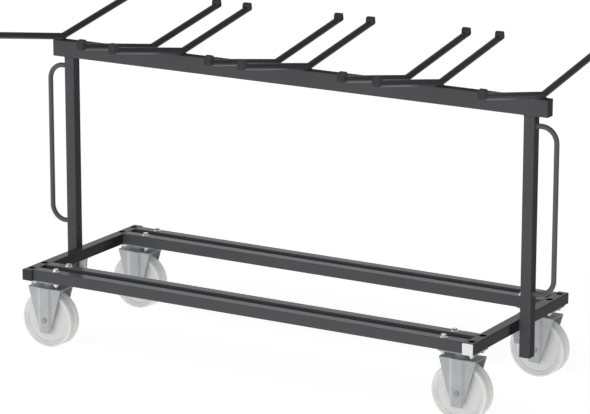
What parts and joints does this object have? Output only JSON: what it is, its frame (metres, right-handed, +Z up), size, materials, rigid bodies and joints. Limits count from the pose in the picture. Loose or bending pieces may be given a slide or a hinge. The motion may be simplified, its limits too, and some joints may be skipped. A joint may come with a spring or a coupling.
{
  "type": "chair cart",
  "caption": "Steel chair cart with V-shaped hanging arms on a raised beam, a tube base on swivel casters and a push handle at each end.",
  "frame": {"origin": "middle of the cart on the floor", "axes": "+X along the cart to its right end, +Y from the front to the back, +Z up"},
  "size_m": [2.058, 0.9122, 1.1704],
  "materials": {
    "grey_paint": "satin anthracite powder coat",
    "zinc_steel": "matt zinc plate",
    "bright_steel": "bright zinc plate",
    "white_plastic": "white moulded plastic",
    "black_plastic": "dark moulded plastic"
  },
  "bodies": {
    "frame": {"arm_1": "grey_paint", "arm_2": "grey_paint", "arm_3": "grey_paint", "arm_4": "grey_paint", "arm_5": "grey_paint", "arm_6": "grey_paint", "arm_7": "grey_paint", "arm_8": "grey_paint", "beam_end_plugs": "black_plastic", "dark_end_plugs": "black_plastic", "front_arm_stops": "black_plastic", "front_inner_rail": "grey_paint", "front_left_fixings": "bright_steel", "front_left_kingpin": "zinc_steel", "front_left_top_plate": "zinc_steel", "front_outer_rail": "grey_paint", "front_right_fixings": "bright_steel", "front_right_kingpin": "zinc_steel", "front_right_top_plate": "zinc_steel", "left_cross_tube": "grey_paint", "left_handle": "grey_paint", "left_post": "grey_paint", "left_tab": "zinc_steel", "post_foot_plugs": "black_plastic", "rear_arm_stops": "black_plastic", "rear_inner_rail": "grey_paint", "rear_left_fixings": "bright_steel", "rear_left_kingpin": "zinc_steel", "rear_left_top_plate": "zinc_steel", "rear_outer_rail": "grey_paint", "rear_right_fixings": "bright_steel", "rear_right_kingpin": "zinc_steel", "rear_right_top_plate": "zinc_steel", "right_cross_tube": "grey_paint", "right_handle": "grey_paint", "right_post": "grey_paint", "right_tab": "zinc_steel", "top_beam": "grey_paint", "white_end_plug": "white_plastic"},
    "front_left_swivel": {"front_left_fork": "zinc_steel", "front_left_swivel_ring": "zinc_steel", "front_left_axle": "zinc_steel"},
    "front_left_roller": {"front_left_wheel": "white_plastic", "front_left_wheel_bushes": "black_plastic"},
    "front_right_swivel": {"front_right_fork": "zinc_steel", "front_right_swivel_ring": "zinc_steel", "front_right_axle": "zinc_steel"},
    "front_right_roller": {"front_right_wheel": "white_plastic", "front_right_wheel_bushes": "black_plastic"},
    "rear_left_swivel": {"rear_left_fork": "zinc_steel", "rear_left_swivel_ring": "zinc_steel", "rear_left_axle": "zinc_steel"},
    "rear_left_roller": {"rear_left_wheel": "white_plastic", "rear_left_wheel_bushes": "black_plastic"},
    "rear_right_swivel": {"rear_right_fork": "zinc_steel", "rear_right_swivel_ring": "zinc_steel", "rear_right_axle": "zinc_steel"},
    "rear_right_roller": {"rear_right_wheel": "white_plastic", "rear_right_wheel_bushes": "black_plastic"}
  },
  "joints": [
    {"name": "front_left_swivel_turn", "type": "hinge", "parent": "frame", "child": "front_left_swivel", "pos_m": [-0.8325, -0.291, 0.224], "axis": [0, 0, 1], "continuous": true},
    {"name": "front_left_wheel_spin", "type": "hinge", "parent": "front_left_swivel", "child": "front_left_roller", "pos_m": [-0.8325, -0.291, 0.103], "axis": [0, 1, 0], "continuous": true},
    {"name": "front_right_swivel_turn", "type": "hinge", "parent": "frame", "child": "front_right_swivel", "pos_m": [0.8325, -0.291, 0.224], "axis": [0, 0, 1], "continuous": true},
    {"name": "front_right_wheel_spin", "type": "hinge", "parent": "front_right_swivel", "child": "front_right_roller", "pos_m": [0.8325, -0.291, 0.103], "axis": [0, 1, 0], "continuous": true},
    {"name": "rear_left_swivel_turn", "type": "hinge", "parent": "frame", "child": "rear_left_swivel", "pos_m": [-0.8325, 0.291, 0.224], "axis": [0, 0, 1], "continuous": true},
    {"name": "rear_left_wheel_spin", "type": "hinge", "parent": "rear_left_swivel", "child": "rear_left_roller", "pos_m": [-0.8325, 0.291, 0.103], "axis": [0, 1, 0], "continuous": true},
    {"name": "rear_right_swivel_turn", "type": "hinge", "parent": "frame", "child": "rear_right_swivel", "pos_m": [0.8325, 0.291, 0.224], "axis": [0, 0, 1], "continuous": true},
    {"name": "rear_right_wheel_spin", "type": "hinge", "parent": "rear_right_swivel", "child": "rear_right_roller", "pos_m": [0.8325, 0.291, 0.103], "axis": [0, 1, 0], "continuous": true}
  ]
}
